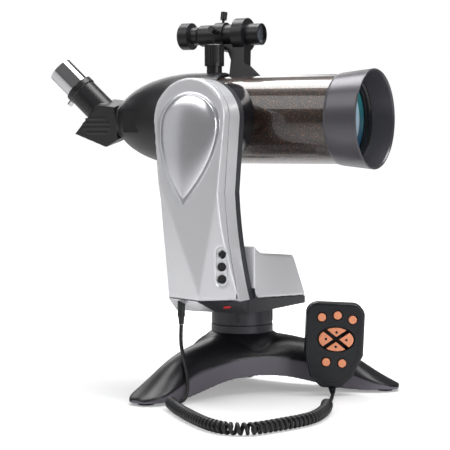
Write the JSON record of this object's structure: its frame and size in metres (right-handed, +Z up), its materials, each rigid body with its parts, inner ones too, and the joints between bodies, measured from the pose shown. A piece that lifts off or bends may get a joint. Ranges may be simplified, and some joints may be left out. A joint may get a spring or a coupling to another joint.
{
  "type": "telescope",
  "caption": "Short mirror-lens telescope on a motorised one-arm mount with a low three-legged base, finder, diagonal with eyepiece, and a handset on a curly cord.",
  "frame": {"origin": "point of the table under the azimuth axis", "axes": "+Z up, +X the way the level tube points, arm on the -Y side"},
  "size_m": [0.4557, 0.43, 0.4534],
  "materials": {
    "silver_paint": "silver painted, satin gloss",
    "dark_frame": "dark grey moulding",
    "bronze_tube": "glossy brown-black enamel with bronze flake",
    "satin_black": "satin black",
    "gloss_black": "gloss black",
    "shade_grey": "satin dark grey",
    "ring_grey": "satin grey",
    "tripod_black": "satin black with a grey-violet sheen",
    "optical_glass": "clear, coated",
    "mirror_coat": "polished",
    "chrome": "polished",
    "steel": "turned",
    "brass": "turned",
    "motor_steel": "drawn",
    "foot_rubber": "matt",
    "cord_black": "satin",
    "handset_grey": "satin charcoal",
    "key_orange": "satin orange",
    "switch_red": "glossy",
    "board_green": "lacquered",
    "jack_black": "satin"
  },
  "bodies": {
    "tripod": {"tripod_body": "tripod_black", "rubber_feet": "foot_rubber", "clamp_bolt": "steel", "azimuth_base_ring": "ring_grey", "azimuth_spindle": "steel", "azimuth_worm_wheel": "brass", "spindle_nut": "steel", "handset_front": "handset_grey", "handset_back": "handset_grey", "handset_boot": "cord_black", "cord_coil": "cord_black", "cord_lead": "cord_black", "cord_tail": "cord_black"},
    "head": {"azimuth_top_ring": "ring_grey", "head_frame": "dark_frame", "base_cover": "silver_paint", "arm_side_band": "silver_paint", "arm_outer_cover": "silver_paint", "altitude_drive_cover": "silver_paint", "jack_panel": "jack_black", "port_panel": "silver_paint", "chin_panel": "dark_frame", "altitude_bush": "brass", "altitude_motor": "motor_steel", "azimuth_motor": "motor_steel", "battery_tray": "satin_black", "circuit_board": "board_green", "cord_plug": "cord_black"},
    "switch": {"power_button": "switch_red"},
    "azimuth_drive": {"azimuth_worm": "steel"},
    "altitude_drive": {"altitude_worm": "steel"},
    "tube": {"altitude_drum": "gloss_black", "altitude_axle": "steel", "main_tube": "bronze_tube", "dew_shade": "shade_grey", "corrector_cell": "gloss_black", "corrector_lens": "optical_glass", "secondary_mirror": "mirror_coat", "rear_housing": "satin_black", "baffle_tube": "satin_black", "finder_bracket": "satin_black", "finder_tube": "satin_black", "finder_lenses": "optical_glass"},
    "mirror": {"mirror_cell": "satin_black", "primary_mirror": "mirror_coat"},
    "focus": {"focus_knob": "satin_black"},
    "diagonal": {"diagonal_housing": "satin_black", "diagonal_prism": "optical_glass"},
    "thumbscrew": {"eyepiece_thumbscrew": "steel"},
    "eyepiece": {"eyepiece": "chrome", "eyepiece_lenses": "optical_glass"},
    "key_top_left": {"key_top_left": "key_orange"},
    "key_top_middle": {"key_top_middle": "key_orange"},
    "key_top_right": {"key_top_right": "key_orange"},
    "key_low_left": {"key_low_left": "key_orange"},
    "key_low_right": {"key_low_right": "key_orange"},
    "key_up": {"key_up": "key_orange"},
    "key_left": {"key_left": "key_orange"},
    "key_down": {"key_down": "key_orange"},
    "key_right": {"key_right": "key_orange"}
  },
  "joints": [
    {"name": "azimuth", "type": "hinge", "parent": "tripod", "child": "head", "pos_m": [0, 0, 0.09], "axis": [0, 0, 1], "range_deg": [-180, 30]},
    {"name": "altitude", "type": "hinge", "parent": "head", "child": "tube", "pos_m": [0, -0.09, 0.321], "axis": [0, -1, 0], "range_deg": [-10, 60]},
    {"name": "azimuth_worm_spin", "type": "hinge", "parent": "head", "child": "azimuth_drive", "pos_m": [0, 0.03305, 0.116], "axis": [1, 0, 0], "range_deg": [-11000, 2000]},
    {"name": "altitude_worm_spin", "type": "hinge", "parent": "head", "child": "altitude_drive", "pos_m": [-0.02505, -0.101, 0.321], "axis": [0, 0, 1], "range_deg": [-700, 3700]},
    {"name": "focus_turn", "type": "hinge", "parent": "tube", "child": "focus", "pos_m": [-0.038, 0, 0.38], "axis": [0, 0, 1], "range_deg": [-97, 97]},
    {"name": "mirror_slide", "type": "slide", "parent": "tube", "child": "mirror", "axis": [1, 0, 0], "range_m": [-0.005, 0.005]},
    {"name": "diagonal_turn", "type": "hinge", "parent": "tube", "child": "diagonal", "pos_m": [-0.163, 0, 0.321], "axis": [1, 0, 0], "range_deg": [-60, 60]},
    {"name": "thumbscrew_turn", "type": "hinge", "parent": "diagonal", "child": "thumbscrew", "pos_m": [-0.23945, -0.00544, 0.34659], "axis": [-0.7071, 0.147, -0.6917], "range_deg": [-180, 180]},
    {"name": "eyepiece_slide", "type": "slide", "parent": "diagonal", "child": "eyepiece", "axis": [-0.7071, -0.147, 0.6917], "range_m": [0, 0.03]},
    {"name": "power_press", "type": "slide", "parent": "head", "child": "switch", "axis": [-0.231, 0.4463, 0.8645], "range_m": [0, 0.001], "stiffness_N_per_m": 400},
    {"name": "key_top_left_press", "type": "slide", "parent": "tripod", "child": "key_top_left", "axis": [-0.4772, 0.8788, 0], "range_m": [0, 0.001], "stiffness_N_per_m": 300},
    {"name": "key_top_middle_press", "type": "slide", "parent": "tripod", "child": "key_top_middle", "axis": [-0.4772, 0.8788, 0], "range_m": [0, 0.001], "stiffness_N_per_m": 300},
    {"name": "key_top_right_press", "type": "slide", "parent": "tripod", "child": "key_top_right", "axis": [-0.4772, 0.8788, 0], "range_m": [0, 0.001], "stiffness_N_per_m": 300},
    {"name": "key_low_left_press", "type": "slide", "parent": "tripod", "child": "key_low_left", "axis": [-0.4772, 0.8788, 0], "range_m": [0, 0.001], "stiffness_N_per_m": 300},
    {"name": "key_low_right_press", "type": "slide", "parent": "tripod", "child": "key_low_right", "axis": [-0.4772, 0.8788, 0], "range_m": [0, 0.001], "stiffness_N_per_m": 300},
    {"name": "key_up_press", "type": "slide", "parent": "tripod", "child": "key_up", "axis": [-0.4772, 0.8788, 0], "range_m": [0, 0.001], "stiffness_N_per_m": 300},
    {"name": "key_left_press", "type": "slide", "parent": "tripod", "child": "key_left", "axis": [-0.4772, 0.8788, 0], "range_m": [0, 0.001], "stiffness_N_per_m": 300},
    {"name": "key_down_press", "type": "slide", "parent": "tripod", "child": "key_down", "axis": [-0.4772, 0.8788, 0], "range_m": [0, 0.001], "stiffness_N_per_m": 300},
    {"name": "key_right_press", "type": "slide", "parent": "tripod", "child": "key_right", "axis": [-0.4772, 0.8788, 0], "range_m": [0, 0.001], "stiffness_N_per_m": 300}
  ],
  "couplings": [
    {"joint": "azimuth_worm_spin", "follows": "azimuth", "ratio": 60},
    {"joint": "altitude_worm_spin", "follows": "altitude", "ratio": 60},
    {"joint": "focus_turn", "follows": "mirror_slide", "rad_per_m": -333.33}
  ]
}
